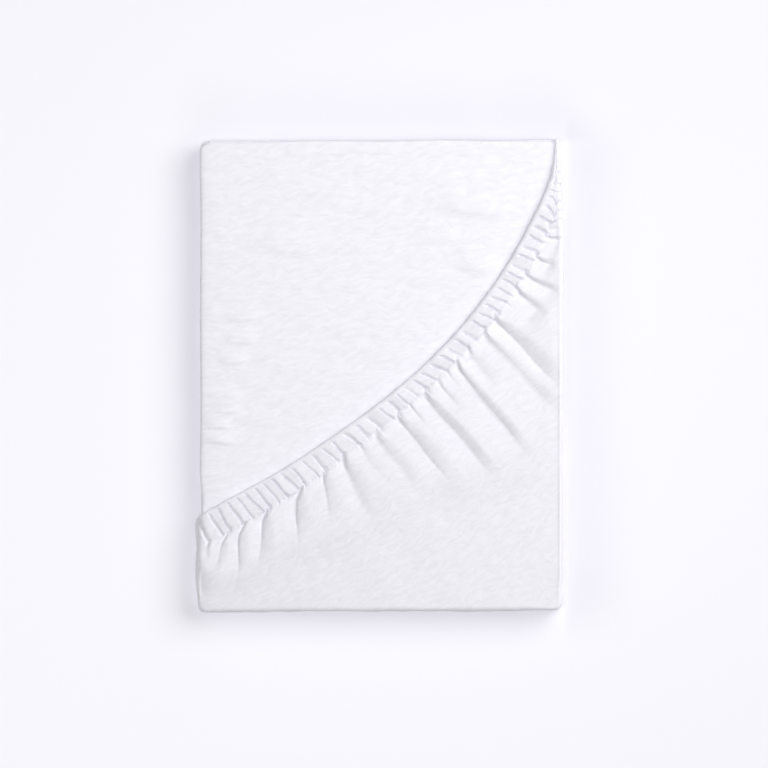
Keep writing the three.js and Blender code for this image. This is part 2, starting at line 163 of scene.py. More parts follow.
def fold_stations():
    """The cloth's middle line across the packet, from the lowest ply's free edge to the highest
    ply's: straight runs joined by half circles. Gives its x, z, normal and ply at each station."""
    radius = PLY_PITCH / 2
    turn_x = PANEL_SIDE - radius - PANEL_CLOTH / 2
    line = []
    for ply in range(PLIES):
        heading = -1 if ply % 2 == 0 else 1
        z = PANEL_LOW[2] + PANEL_CLOTH / 2 + ply * PLY_PITCH
        is_top = ply == PLIES - 1
        stations = TOP_STATIONS if is_top else PLY_STATIONS
        x = np.linspace(-heading * turn_x, heading * turn_x, stations)
        line.append(np.stack([x, 0 * x + z, 0 * x, 0 * x + heading, 0 * x + ply]))
        if not is_top:
            angle = np.linspace(0, np.pi, FOLD_STATIONS)[1:-1]
            side, rise = heading * np.sin(angle), -np.cos(angle)
            line.append(np.stack([
                heading * turn_x + radius * side,
                z + radius * (1 + rise),
                -heading * side,
                -heading * rise,
                ply + angle / np.pi,
            ]))
    return np.concatenate(line, 1)


def gathered_places(low, high, inset, close, count):
    """Places from low to high, close together over a short inset at each end, and between them
    at even steps of a density that is three times higher around each of the close places."""
    near_end = inset * np.linspace(0, 1, 7)[:-1] ** 1.5
    fine = np.linspace(low + inset, high - inset, 2000)
    density = 1 + 2 * np.exp(-((fine[:, None] - close) / 4) ** 2).max(1)
    steps = np.cumsum(density) - density[0]
    between = np.interp(np.linspace(0, steps[-1], count), steps, fine)
    return np.concatenate([low + near_end, between, high - near_end[::-1]])


def shell(outer, inner, faces, border, upright, edge_form=((1.0, 0.0),)):
    """A closed cloth from its two faces, as point lists with the same order, joined along the
    border by a half-round edge. upright holds the border points' face directions. edge_form says
    how far the edge bulges, where 1 is a half circle, and how far its foot stands out, as a share
    of its height."""
    count = len(outer)
    start, end = outer[border], inner[border]
    middle, half = (start + end) / 2, np.linalg.norm(start - end, axis=1)[:, None] / 2
    run = np.roll(middle, -1, 0) - np.roll(middle, 1, 0)
    outward = np.cross(run, upright)
    outward /= np.maximum(np.linalg.norm(outward, axis=1)[:, None], 1e-9)
    bulge, foot = np.array(edge_form).T[..., None]
    rings = [border]
    points = [outer, inner]
    for step in range(1, EDGE_STEPS):
        angle = np.pi * step / EDGE_STEPS
        out = half * (bulge * np.sin(angle) + foot * (1 - np.cos(angle)))
        points.append(middle + np.cos(angle) * (start - middle) + out * outward)
        rings.append(2 * count + (step - 1) * len(border) + np.arange(len(border)))
    rings.append(border + count)
    quads = [faces, faces[:, ::-1] + count]
    for upper, lower in zip(rings[:-1], rings[1:]):
        after_upper, after_lower = np.roll(upper, -1), np.roll(lower, -1)
        quads.append(np.stack([after_upper, upper, lower, after_lower], 1))
    return np.concatenate(points), np.concatenate(quads)


def in_scene(name, data):
    """A new object with this mesh, lamp or camera, linked into the scene."""
    thing = bpy.data.objects.new(name, data)
    bpy.context.scene.collection.objects.link(thing)
    return thing


def cloth_piece(name, points, quads, places, polygons=(), polygon_places=None):
    """Makes a smooth-shaded mesh object in metres. places is where each point lay in the flat
    cloth, in millimetres, kept in metres as the UV map that the nap and the thread's twist follow."""
    faces = quads.tolist() + [polygon.tolist() for polygon in polygons]
    mesh = bpy.data.meshes.new(name)
    mesh.from_pydata((points * MM).tolist(), [], faces)
    mesh.polygons.foreach_set("use_smooth", np.ones(len(faces), bool))
    corners = np.concatenate([quads.ravel(), *polygons])
    laid = places[corners]
    if len(polygons):
        laid[quads.size:] = polygon_places[corners[quads.size:]]
    flat_map = mesh.uv_layers.new(name="flat_cloth")
    flat_map.uv.foreach_set("vector", (laid * MM).astype(np.float32).ravel())
    mesh.update()
    return in_scene(name, mesh)


def strayed(amounts, places, waves, seed):
    """How far an edge strays inwards: the usual stray plus its unevenness, from 0 to the most."""
    usual, uneven, most = amounts
    return np.clip(usual + sways(places, waves, uneven, seed), 0, most)


def folded_cloth():
    """The panel's shell: every fold station carried along the packet's length, each ply's folds
    and ends strayed a little, then pressed into the packet's form and creased."""
    line_x, line_z, normal_x, normal_z, ply = fold_stations()
    crease_places = CREASES[:, [1, 3]].mean(1)
    along = gathered_places(PANEL_LOW[1], PANEL_HIGH[1], PLAN_CORNER, crease_places, LENGTH_STATIONS)
    middle = (PANEL_LOW[1] + PANEL_HIGH[1]) / 2
    half = (PANEL_HIGH[1] - PANEL_LOW[1]) / 2
    x, y, z, ply = np.broadcast_arrays(line_x[:, None], along, line_z[:, None], ply[:, None])

    into_corner = np.clip(np.abs(y - middle) - (half - PLAN_CORNER), 0, PLAN_CORNER)
    corner = PLAN_CORNER - np.sqrt(PLAN_CORNER ** 2 - into_corner ** 2)
    from_middle = 2 * ply / (PLIES - 1) - 1
    shoulder = SHOULDER * np.abs(from_middle) ** 5
    stray = strayed(FOLD_STRAY, [np.round(ply - 0.5), y], [(2.1, 7.0), (120, 400)], 3)
    narrower = 1 - (corner + shoulder + stray) / PANEL_SIDE
    overhang = TOP_OVERHANG * np.exp(-((ply - OVERHANG_PLY) / OVERHANG_PLIES) ** 2)
    overhang = overhang * soft_step((y - OVERHANG_FROM) / 30)
    overhang = overhang * soft_step(-x / PANEL_SIDE * 8 - 7)
    shorter = 1 - strayed(END_STRAY, [ply, x], [(2.3, 8.0), (90, 300)], 5) / half
    lift = sways([ply, x, y], [(2.5, 9.0), (70, 200), (70, 200)], PLY_LIFT, 7)
    hollows = sways([x, y], [(60, 220), (16, 60)], WIDE_HOLLOWS, 11) - HOLLOW_SINK
    hollows = hollows + sways([x, y], [(18, 60), (9, 26)], SMALL_HOLLOWS, 12) + creased(x, y)
    height_share = (z / STACK_TOP) ** 2

    faces = []
    for side in (-0.5, 0.5):
        off_x = (x + side * PANEL_CLOTH * normal_x[:, None]) * narrower - overhang
        off_z = z + side * PANEL_CLOTH * normal_z[:, None] + lift + hollows * height_share
        faces.append(packet_form(off_x, middle + (y - middle) * shorter, off_z).reshape(-1, 3))
    inner, outer = faces

    index = np.arange(len(outer)).reshape(x.shape)
    quads = np.stack([index[:-1, :-1], index[1:, :-1], index[1:, 1:], index[:-1, 1:]], -1)
    border = np.concatenate([index[0, :-1], index[:-1, -1], index[-1, :0:-1], index[:0:-1, 0]])[::-1]
    points, quads = shell(outer, inner, quads.reshape(-1, 4), border, (outer - inner)[border])

    travelled = np.cumsum(np.hypot(np.diff(line_x, prepend=line_x[0]),
                                   np.diff(line_z, prepend=line_z[0])))
    laid = np.stack([travelled[:, None] + 0 * y, y], -1).reshape(-1, 2)
    places = np.concatenate([laid, laid] + [laid[border]] * (EDGE_STEPS - 1))
    return points, quads, places


def linear(code):
    """An sRGB hex colour as the linear colour, with alpha, that a shader takes."""
    parts = np.array([int(code[i:i + 2], 16) for i in (0, 2, 4)]) / 255
    return (*np.where(parts <= 0.04045, parts / 12.92, ((parts + 0.055) / 1.055) ** 2.4), 1.0)


def add(tree, kind, links=(), **settings):
    """Adds a node, or sets up the one that is given as its kind. settings are its attributes or its
    inputs' values, and links are pairs of an input's name or number and the socket, or the value,
    that feeds it."""
    node = tree.nodes.new("ShaderNode" + kind) if isinstance(kind, str) else kind
    for name, value in settings.items():
        if hasattr(node, name):
            setattr(node, name, value)
        else:
            node.inputs[name.replace("_", " ")].default_value = value
    for entry, feed in links:
        if isinstance(feed, bpy.types.NodeSocket):
            tree.links.new(feed, node.inputs[entry])
        else:
            node.inputs[entry].default_value = feed
    return node


def reckon(tree, operation, *values):
    """The result of a math node, whose inputs are sockets or values."""
    return add(tree, "Math", enumerate(values), operation=operation).outputs["Value"]


def blank_material(name):
    """A new material, with its node tree and the surface node that it starts with."""
    material = bpy.data.materials.new(name)
    material.use_nodes = True
    return material, material.node_tree, material.node_tree.nodes["Principled BSDF"]


def toned(tree, share, codes, ends=(0, 1)):
    """A colour that goes from the first sRGB code to the second while share goes from end to end."""
    ramp = add(tree, "ValToRGB", [("Fac", share)])
    for element, code, end in zip(ramp.color_ramp.elements, codes, ends):
        element.position = end
        element.color = linear(code)
    return ramp.outputs["Color"]


# The nap's strokes wander by NAP_DRIFT over NAP_DRIFT_SIZE, and finer fuzz lies over them. Both
# stand up together by NAP_DEPTH.
NAP_DRIFT, NAP_DRIFT_SIZE = 9, 14
FUZZ_SIZE, FUZZ_SHARE = 0.7, 0.16
NAP_DEPTH = 0.40


def brushed_molton(name, codes, turn, strokes):
    """Bleached molton, a soft cotton whose brushed nap hides its weave. It is matt and scatters
    light like felt, with a weak sheen from loose fibres, and its nap lies in short strokes."""
    material, tree, cotton = blank_material(name)
    laid = add(tree, "UVMap", uv_map="flat_cloth").outputs["UV"]
    drift = add(tree, "TexNoise", [("Vector", laid)], Scale=1 / (NAP_DRIFT_SIZE * MM), Detail=1.0)
    middle = add(tree, "VectorMath", [(0, drift.outputs["Color"]), (1, (0.5, 0.5, 0.5))],
                 operation="SUBTRACT")
    pushed = add(tree, "VectorMath", [
        (0, middle.outputs["Vector"]), (1, (NAP_DRIFT * MM, NAP_DRIFT * MM, 0)), (2, laid),
    ], operation="MULTIPLY_ADD")
    turned = add(tree, "Mapping", [("Vector", pushed.outputs["Vector"])], vector_type="TEXTURE",
                 Rotation=(0, 0, np.radians(turn)), Scale=(*(MM * s for s in strokes), 1))
    nap = add(tree, "TexNoise", [("Vector", turned.outputs["Vector"])],
              Scale=1.0, Detail=2.0, Roughness=0.5, Distortion=0.5).outputs["Fac"]
    fuzz = add(tree, "TexNoise", [("Vector", laid)],
               Scale=1 / (FUZZ_SIZE * MM), Detail=2.0, Roughness=0.6)
    height = reckon(tree, "ADD", nap, reckon(tree, "MULTIPLY", fuzz.outputs["Fac"], FUZZ_SHARE))
    relief = add(tree, "Bump", [("Height", height)], Strength=1.0, Distance=NAP_DEPTH * MM)
    # The base colour follows the nap's strokes, a touch darker where they lie low and lighter where they
    # stand up: painted shade in the nap's hollows.
    shade = toned(tree, nap, codes, (0.3, 0.7))
    add(tree, cotton, [("Base Color", shade), ("Normal", relief.outputs["Normal"])],
        Roughness=0.95, IOR=1.45, Sheen_Weight=0.15, Sheen_Roughness=0.6)
    return material


panel = cloth_piece("mattress_panel", *folded_cloth())
panel.data.materials.append(brushed_molton("panel_molton", ("e2e1e8", "e9e8ef"), 14, (11.0, 3.8)))
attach(panel, "root")
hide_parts("folded_panel")

# The elasticated skirt. One corner of the cover's skirt, of the same molton, pulled over the packet
# as a pocket. Its edge is turned over an elastic and sewn down as a casing, which draws it up into
# fifty small ruffles, and longer gathers run from the casing's seam over the top.
SKIRT_CLOTH = 1.5
SKIRT_GAP = 0.5
SKIRT_TOP = STACK_TOP + SKIRT_GAP + SKIRT_CLOTH
SKIRT_LEFT, SKIRT_RIGHT, SKIRT_NEAR = -152.7, 152.2, -197.1
LEFT_END, RIGHT_END = -117.2, 198.0

# The skirt turns over the packet's edge in a radius for the near, the left and the right side, and
# under its foot in another. Down the left wall the hem runs on at a slant. Along the right side the
# pulled edge stands up as a lip, and near the right corner a line is pressed into the top.
EDGE_RADIUS, LEFT_RADIUS, RIGHT_RADIUS = 3.2, 2.0, 1.6
FOOT_RADIUS = 2.5
LEFT_SLANT = 0.6
RIM_LIP, LIP_LENGTH, LIP_WIDTH = 0.75, 300, 1.4
PRESSED_DEPTH, PRESSED_AT, PRESSED_WIDTH = 0.3, 141.6, 1.3

# The hem's line in plan, by the four points of a cubic curve, and its length in round figures.
HEM_LINE = np.array([(SKIRT_LEFT + LEFT_RADIUS, -120), (-35, -52), (116.2, 41), (148.9, 195)])
HEM_LENGTH = 447

# How the skirt runs away from the hem, by the number of the ruffle from the left: its place along
# the hem as a share, the casing's width and its ruffles' direction in degrees from +X, how far the
# puffs reach past the casing, and where the cloth lands on the packet's edge, from the near left.
RUN = np.array([
    (0, 0.000, 21.0, -90, 20, 0),
    (2, 0.037, 21.0, -70, 34, 17),
    (6, 0.120, 22.0, -52, 45, 53),
    (10, 0.196, 22.0, -44, 45, 96),
    (12, 0.248, 21.0, -41, 48, 146),
    (14, 0.287, 20.0, -40, 52, 217),
    (17, 0.371, 19.0, -38, 58, 287),
    (19, 0.418, 19.0, -37, 70, 328),
    (25, 0.543, 18.5, -34, 89, 406),
    (30, 0.652, 18.0, -30, 76, 493),
    (34, 0.730, 17.5, -27, 38, 558),
    (40, 0.845, 16.3, -20, 16, 629),
    (43, 0.897, 14.8, -16, 14, 654),
    (46, 0.946, 7.5, -12, 12, 677),
    (50, 1.000, 0.6, 0, 10, 702),
]).T
RUN_NUMBER, RUN_SHARE, RUN_CASING, RUN_LEAN, RUN_REACH, RUN_LANDS = RUN

# How far the free edge strays from the hem's line towards the seam, by the ruffle's number.
STRAY = np.array([(0, -2.8), (2, -2.6), (5, -1.3), (9, 0.5), (14, 1.3), (19, 2.3), (23, 2.6),
                  (26, 2.4), (29, 2.0), (32, 1.3), (35, 1.0), (38, 0.8), (41, 1.4), (43, 2.1),
                  (46, 2.6), (50, 0.2)]).T

# How far the free edge bulges, where 1 is a half circle, and how far its foot stands out, as a
# share of its height, by the ruffle's number.
HEM_EDGE = np.array([(0, 0.5, 0), (18, 0.55, 0.05), (24, 0.5, 0.15), (30, 0.45, 0.22),
                     (44, 0.45, 0.22), (50, 0.5, 0)]).T

# The valleys between the ruffles: the place of each at the free edge and at the seam, in average
# ruffles from the left, and how deep it is, as a share of the ruffles' height.
VALLEYS = np.array([
    (-5.00, -5.00, 0.60), (-4.10, -3.90, 0.70), (-2.90, -3.00, 0.60), (-2.10, -1.90, 0.70),
    (-1.10, -0.80, 0.60), (-0.46, 0.44, 0.75), (0.79, 1.64, 0.80), (1.84, 2.24, 0.75),
    (2.94, 3.24, 0.85), (3.79, 4.14, 0.65), (4.69, 5.14, 0.85), (5.69, 5.74, 0.70),
    (6.59, 6.64, 0.65), (7.54, 7.54, 0.90), (8.69, 8.84, 1.00), (9.69, 9.54, 0.55),
    (10.79, 10.74, 0.65), (11.54, 11.29, 0.65), (12.44, 12.54, 0.45), (13.74, 13.34, 0.90),
    (14.79, 14.84, 0.85), (15.64, 15.54, 0.85), (16.54, 16.54, 0.70), (17.63, 17.73, 0.70),
    (18.57, 18.32, 0.90), (19.50, 19.40, 0.65), (20.49, 20.49, 0.45), (21.37, 21.47, 0.95),
    (22.26, 22.66, 0.90), (23.55, 23.85, 0.95), (24.55, 24.95, 0.90), (25.65, 25.75, 0.65),
    (26.60, 26.65, 0.90), (27.45, 27.50, 0.90), (28.70, 28.75, 0.90), (29.65, 29.75, 0.65),
    (30.50, 30.55, 0.90), (31.50, 31.75, 0.75), (32.55, 32.60, 0.90), (33.60, 33.40, 0.90),
    (34.35, 34.45, 0.85), (35.30, 35.15, 0.85), (36.25, 36.45, 0.80), (37.20, 37.25, 0.90),
    (38.55, 38.35, 0.90), (39.45, 39.15, 0.90), (40.70, 40.45, 0.90), (41.80, 41.25, 0.85),
    (42.90, 42.35, 0.85), (43.75, 43.25, 0.50), (44.65, 44.05, 0.75), (45.85, 45.05, 0.70),
    (46.85, 46.25, 0.60), (47.85, 47.45, 0.60), (48.85, 48.85, 0.60), (49.85, 49.85, 0.50),
    (50.85, 50.85, 0.50),
])

# The gathers: the place each starts from at the seam, a little way past it and at its far end, how
# far it reaches past the seam, how deep it cuts, the width of the side it climbs and how far in
# millimetres its sharp crease runs, and the width of the side it falls. All places and widths are
# in average ruffles.
GATHERS = np.array([
    (0.50, 0.45, 0.50, 14, 0.30, 0.35, 6, 0.8),
    (2.00, 1.65, 1.70, 26, 0.45, 0.80, 12, 1.2),
    (3.50, 3.20, 3.55, 44, 0.60, 0.90, 38, 1.5),
    (5.45, 5.15, 5.50, 46, 0.75, 1.20, 20, 1.9),
    (9.05, 8.70, 9.00, 42, 0.85, 1.25, 26, 3.0),
    (11.20, 11.13, 11.13, 45, 0.66, 0.92, 22, 2.2),
    (13.20, 12.95, 13.05, 56, 0.84, 1.15, 7, 1.9),
    (14.95, 14.85, 14.95, 48, 0.33, 0.60, 6, 1.6),
    (16.20, 16.03, 15.93, 60, 0.72, 0.74, 8, 2.6),
    (18.20, 17.97, 17.92, 70, 0.84, 0.90, 8, 2.0),
    (19.50, 19.40, 19.42, 20, 0.40, 0.36, 8, 1.2),
    (21.15, 20.95, 20.88, 84, 0.80, 0.82, 8, 2.8),
    (23.00, 22.75, 22.72, 28, 0.40, 0.44, 10, 1.7),
    (24.10, 23.93, 23.93, 18, 0.34, 0.40, 6, 1.1),
    (25.20, 24.86, 24.76, 96, 0.78, 0.62, 16, 3.0),
    (26.55, 26.35, 26.50, 36, 0.62, 0.78, 4, 1.5),
    (28.60, 28.42, 28.62, 92, 0.90, 0.62, 16, 3.2),
    (30.00, 29.95, 29.95, 76, 0.96, 0.88, 12, 1.8),
    (33.38, 33.20, 33.22, 31, 0.82, 0.60, 12, 3.0),
    (35.08, 34.97, 34.97, 32, 0.72, 0.48, 12, 1.8),
    (36.95, 36.70, 36.70, 18, 0.65, 0.55, 8, 1.8),
    (38.95, 38.82, 38.78, 15, 0.65, 0.26, 14, 2.0),
    (39.85, 39.72, 39.72, 11, 0.42, 0.22, 10, 1.0),
])

# The small puckers that the stitching draws into the cloth at the seam: the place in ruffles, how
# far past the seam, the radius and the depth.
PUCKER_COUNT = 78
PUCKERS = np.stack([np.random.default_rng(seed).uniform(low, high, PUCKER_COUNT) for seed, low, high in (
    (41, -0.2, 0.2), (42, -2.5, 2.5), (43, 0.9, 1.8), (44, 0.1, 0.75))], 1)
PUCKERS[:, 0] += np.linspace(2, 41, PUCKER_COUNT)

# The form of a ruffle. From a valley it climbs to the right over a share of its width, by a power
# of the distance, and to the left it falls into a slit, from a slight slope.
RUFFLE_HEIGHT = 3.6
CLIMB_WIDTH, CLIMB_POWER = 0.35, 1.35
SLIT_WIDTH, SLOPE_SHARE = 0.007, 0.1

# The form of the puffs and gathers: how high puffs stand, the length of a gather's first part, how
# it wanders, how steeply its side is climbed, and the widths of its sharp crease and of the slope
# to its left.
PUFF_HEIGHT = 5.0
NEAR_PART = 8
GATHER_WANDER, GATHER_WAVE = 0.06, 9
GATHER_POWER = 1.3
CREASE_RIGHT, CREASE_LEFT, CREASE_SLOPE = 1.3, 0.5, 9

# From this ruffle on, over this many, the puffs end and the ruffles run out past the seam.
LATE_FROM, LATE_OVER = 38, 3

# Narrower casings and ruffles than these are formed as if they were this wide.
LEAST_CASING, LEAST_PITCH = 13.0, 4

# The relief fades down the walls, and down the left wall the puffs reach this far past the casing.
# The walls bulge by a belly that is broadly uneven, with small drawn folds.
WALL_FADE, WALL_REACH = 14.0, 30.0
BELLY, BELLY_UNEVEN, DRAWN_FOLDS = 0.55, 0.28, 0.16

# The top's unevenness, broad and small, and the share of its relief that shows under the casing.
BROAD_SWAY, SMALL_SWAY = 0.16, 0.03
SHARE_INSIDE = 0.12


def through(numbers, values, at):
    """A smooth curve through a table's values that never overshoots them: cubic pieces whose slope
    at each value is the harmonic mean of the straight slopes on its two sides."""
    step = np.diff(numbers)
    slope = np.diff(values) / step
    same_way = slope[:-1] * slope[1:] > 0
    total = np.where(same_way, slope[:-1] + slope[1:], 1)
    inside = np.where(same_way, 2 * slope[:-1] * slope[1:] / total, 0)
    tangent = np.concatenate([slope[:1], inside, slope[-1:]])
    at = np.clip(at, numbers[0], numbers[-1])
    piece = np.clip(np.searchsorted(numbers, at, side="right") - 1, 0, len(step) - 1)
    t = (at - numbers[piece]) / step[piece]
    rest = 1 - t
    return (values[piece] * rest * rest * (1 + 2 * t) + values[piece + 1] * t * t * (3 - 2 * t)
            + step[piece] * t * rest * (tangent[piece] * rest - tangent[piece + 1] * t))


def hem_points(share):
    """Places on the hem's line, a cubic Bezier curve, by share of its length."""
    t = np.linspace(0, 1, 2001)[:, None]
    a, b, c, d = HEM_LINE
    curve = a * (1 - t) ** 3 + 3 * b * t * (1 - t) ** 2 + 3 * c * t ** 2 * (1 - t) + d * t ** 3
    travelled = np.concatenate([[0], np.cumsum(np.linalg.norm(np.diff(curve, axis=0), axis=1))])
    at = share * travelled[-1]
    return np.stack([np.interp(at, travelled, curve[:, 0]), np.interp(at, travelled, curve[:, 1])], -1)


LEFT_RUN = LEFT_END - (SKIRT_NEAR + PLAN_CORNER)
CORNER_RUN = np.pi / 2 * PLAN_CORNER
NEAR_RUN = SKIRT_RIGHT - SKIRT_LEFT - 2 * PLAN_CORNER
RIGHT_RUN = RIGHT_END - (SKIRT_NEAR + PLAN_CORNER)
RIGHT_START = LEFT_RUN + NEAR_RUN + 2 * CORNER_RUN


def edge_stations(distance):
    """The packet's edge in plan, by distance from the skirt's left end: down the left side, round
    the near left corner, along the near side, round the next corner and up the right side.
    Gives each place and the direction it looks in, by adding up the edge's turning."""
    step = 0.05
    fine = np.arange(0, RIGHT_START + RIGHT_RUN, step)
    first_turn = np.clip((fine - LEFT_RUN) / CORNER_RUN, 0, 1)
    second_turn = np.clip((fine - LEFT_RUN - CORNER_RUN - NEAR_RUN) / CORNER_RUN, 0, 1)
    facing = np.pi + np.pi / 2 * (first_turn + second_turn)
    x = SKIRT_LEFT - step * np.cumsum(np.sin(facing))
    y = LEFT_END + step * np.cumsum(np.cos(facing))
    looks = np.interp(distance, fine, facing)
    place = np.stack([np.interp(distance, fine, x), np.interp(distance, fine, y)], -1)
    return place, np.stack([np.cos(looks), np.sin(looks)], -1)


def edge_radius(distance):
    """The radius in which the skirt turns over the packet's edge, by distance from its left end.
    It eases from the near side's to tighter ones along the left and the right side."""
    left, right = soft_step((distance - LEFT_RUN) / 25), soft_step((distance - RIGHT_START) / 25)
    return LEFT_RADIUS + (EDGE_RADIUS - LEFT_RADIUS) * left + (RIGHT_RADIUS - EDGE_RADIUS) * right


def rim_lip(from_rim, distance):
    """How high the cloth's pulled edge stands along the right side: a bell curve over the
    distance from the rim, which fades out towards both ends of the side."""
    ends = soft_step((distance - RIGHT_START) / 20)
    ends = ends * soft_step((RIGHT_START + LIP_LENGTH - distance) / 60)
    return RIM_LIP * ends * np.exp(-(from_rim / LIP_WIDTH) ** 2)


def wall_section(tilt, radius):
    """The wall's section from the rim over the edge, straight down and under the foot, for its
    directions, in degrees, and a column of edge radii: its heights, and how far it lies inside
    the packet's edge."""
    turning, under = np.radians(tilt[:TURN_STATIONS]), np.radians(tilt[tilt > 90])
    top = SKIRT_TOP - radius
    height = np.concatenate([
        top + radius * np.cos(turning),
        top + (FOOT_RADIUS - top) * np.linspace(0, 1, (tilt == 90).sum())[1:],
        FOOT_RADIUS * (1 + np.cos(under)) + 0 * radius,
    ], -1)
    turn_radius = np.where(tilt > 90, FOOT_RADIUS, radius)
    return height, turn_radius * (1 - np.sin(np.radians(tilt)))


def ruffled(number, away, casing, late):
    """The height of the casing's ruffles: a full ruffle's, cut down in turn by a share for each
    valley. That is most on the valley's line, falls off steeply to the left and by a power of the
    distance to the right, begins near the free edge and fades out past the seam as a bell curve.
    Full ruffles differ by sine waves, grow along the hem and flatten out at its far end."""
    beyond = np.clip(away - casing, 0, None)
    share = np.clip(away / casing, 0, 1)
    ridges = 1
    at_edge, at_seam, cuts = VALLEYS.T
    for i in range(1, len(VALLEYS) - 1):
        before, here, after = (at_edge[k] + (at_seam[k] - at_edge[k]) * share for k in (i - 1, i, i + 1))
        is_left = number < here
        up = np.where(is_left, (here - number) / (here - before), (number - here) / (after - here))
        climb = np.clip(1 - up / CLIMB_WIDTH, 0, 1) ** CLIMB_POWER
        fall = (1 - SLOPE_SHARE) * np.exp(-(up / SLIT_WIDTH) ** 2)
        fall = fall + SLOPE_SHARE * np.clip(1 - up, 0, 1) ** 1.5
        low = np.where(is_left, fall, climb)
        begins = soft_step((away - 0.4 - 1.2 * soft_step((here - 5) / 10)) / 3)
        ends = np.exp(-(beyond / (3.0 + 2.0 * np.sin(2.9 * i) + 8 * late)) ** 2)
        ridges = ridges * (1 - cuts[i] * low * begins * ends)
    uneven = 1 + 0.13 * np.sin(1.9 * number + 2.2 * np.sin(0.7 * number))
    hem_edge = 0.9 + 0.1 * (1 - np.exp(-away / 0.8)) - 0.10 * (1 - share) * soft_step((number - 18) / 12)
    taller = 1 + 0.20 * soft_step((number - 10) / 15) + 0.20 * soft_step((number - 30) / 10)
    taller = taller - 0.95 * soft_step((number - 45) / 5)
    return RUFFLE_HEIGHT * uneven * hem_edge * ridges * taller


def gathered(number, past, pitch):
    """What the gathers leave standing of the puffs, as a share, and the depth of their sharp
    creases. A gather cuts most on its line, less in proportion to the distance on its left, and by
    a power of the distance on its right, where it widens away from the seam. Its crease is a bell
    curve on the right and a step and a slope on the left, with a notch beside it at the seam."""
    beyond = np.clip(past, 0, None)
    kept = np.ones_like(past)
    creases = 0
    for start, near, far, length, cut, slope, sharp, fall in GATHERS:
        centre = start + (near - start) * soft_step(beyond / NEAR_PART)
        centre = centre + (far - near) * soft_step((beyond - NEAR_PART) / (length - NEAR_PART))
        side = number - (centre + GATHER_WANDER * np.sin(beyond / GATHER_WAVE + start))
        off = side * pitch
        falling = np.clip(1 + side / fall, 0, 1)
        wide = slope * (0.35 + 0.65 * soft_step(beyond / 14) + 0.4 * soft_step((beyond - 12) / 40))
        climbing = np.clip(1 - side / wide, 0, 1) ** GATHER_POWER
        fade = soft_step((past + 2) / 5) * (1 - soft_step((beyond / length - 0.7) / 0.45))
        kept = kept * (1 - cut * fade * np.where(side < 0, falling, climbing))
        left_side = 0.5 * np.exp(-(off / CREASE_LEFT) ** 2) + 0.5 * np.clip(1 + off / CREASE_SLOPE, 0, 1)
        step = np.where(off < 0, left_side, np.exp(-(np.abs(off) / CREASE_RIGHT) ** 1.8))
        step = step * np.exp(-(beyond / sharp) ** 2) * soft_step((past + 2) / 4)
        notch = np.exp(-((past + 2.6 * np.clip(off / 4, 0, 1)) / 1.0) ** 2)
        notch = notch * soft_step(off + 1) * soft_step((6 - off) / 2)
        creases = creases - min(1, 1.4 * cut) * (1.9 * step + 1.5 * notch)
    return kept, creases


def sewn_in(number, past, pitch):
    """How far the stitching draws the cloth in: a bell curve along the seam, whose depth changes
    from ruffle to ruffle, and the small puckers, each a round bell curve."""
    depth = 0.35 + 0.3 * np.sin(2.7 * number + 1.5 * np.sin(1.7 * number))
    ends = soft_step((LATE_FROM + LATE_OVER - number) / LATE_OVER)
    total = -depth * ends * np.exp(-((past + 0.8) / 1.5) ** 2)
    for at, offset, size, depth in PUCKERS:
        spread = ((number - at) * pitch / size) ** 2 + ((past - offset) / (0.7 * size)) ** 2
        total = total - depth * np.exp(-spread)
    return total


def stand_out(number, away, casing, reach, pitch):
    """How far the skirt's cloth stands out from its smooth form. Over the casing it is the row of
    ruffles, drawn in at the seam. Past the seam they swell into puffs, which the gathers cut and
    which settle at their reach. number counts ruffles and pitch is the width of one."""
    past = away - casing
    beyond = np.clip(past, 0, None)
    late = soft_step((number - LATE_FROM) / LATE_OVER)
    kept, creases = gathered(number, past, pitch)
    settle = 1 - soft_step((beyond - 0.8 * reach) / (0.6 * reach + 12))
    swell = soft_step(past / 9 + 0.1) * (1 - late)
    body = ruffled(number, away, casing, late) * (1 - swell) + PUFF_HEIGHT * swell
    return body * settle * kept + sewn_in(number, past, pitch) + creases


def smoothed_inside(past):
    """The share of the relief that the cloth's inner face has too: little under the casing, which
    is doubled, and all of it past the seam."""
    return SHARE_INSIDE + (1 - SHARE_INSIDE) * soft_step(past / 6)


def broad_sway(x, y):
    """The broad unevenness of the skirt's top, by place."""
    return sways([x, y], [(35, 120), (35, 120)], BROAD_SWAY, 21)


# The mesh's rows over the top: close together at the hem and the seam, then ever longer steps, and
# close together again in a narrow band at the rim.
ON_CASING = np.concatenate([[0, 0.03, 0.07, 0.12, 0.18], np.linspace(0.25, 0.85, 9),
                            np.linspace(0.885, 1, 4)])
PAST_SEAM = np.linspace(0, 1, 37)[1:] ** 1.5
AT_RIM = np.array([0.6, 0.3, 0])
RIM_BAND = 4.0

# Its rows round the packet's edge, straight down the wall and under the foot.
TURN_STATIONS, DOWN_STATIONS, FOOT_STATIONS = 6, 9, 5

# Its columns, by the ruffle's number at the free edge and at the seam. They follow the valleys,
# eleven to a ruffle, with the closest ones at the valley's steep left side.
IN_RUFFLE = np.array([0, 0.07, 0.15, 0.24, 0.34, 0.46, 0.62, 0.80, 0.975, 0.985, 0.995])
GUIDES = VALLEYS[(VALLEYS[:, 0] > 0.5) & (VALLEYS[:, 0] < 49.9), :2]
COLUMNS = np.concatenate([
    np.linspace(0, 1, 15)[:-1, None] * GUIDES[0],
    (GUIDES[:-1, None] + IN_RUFFLE[:, None] * np.diff(GUIDES, axis=0)[:, None]).reshape(-1, 2),
    GUIDES[-1] + np.linspace(0, 1, 8)[:, None] * (50 - GUIDES[-1]),
])


